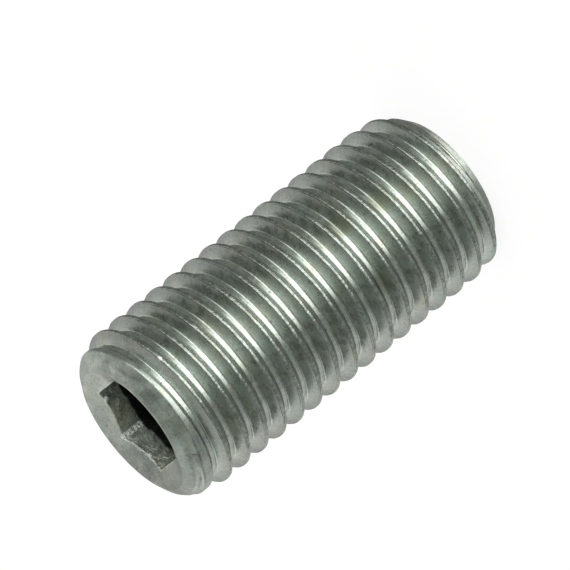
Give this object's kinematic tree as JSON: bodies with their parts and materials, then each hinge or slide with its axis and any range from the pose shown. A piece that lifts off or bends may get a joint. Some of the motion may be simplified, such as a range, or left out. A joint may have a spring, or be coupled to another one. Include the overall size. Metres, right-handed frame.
{
  "type": "threaded stud",
  "caption": "Headless stud with a right-hand thread from end to end, a hexagon socket in one end and a chamfered flat point at the other.",
  "frame": {"origin": "centre of the flat point, on the thread's axis", "axes": "+Z along the thread's axis from the flat point to the hexagon socket, +X square to two opposite flats of the socket"},
  "size_m": [0.016, 0.016, 0.035],
  "materials": {
    "zinc_steel": "dull zinc plate, worn bright on the thread crests"
  },
  "bodies": {
    "root": {"stud": "zinc_steel"}
  },
  "joints": []
}
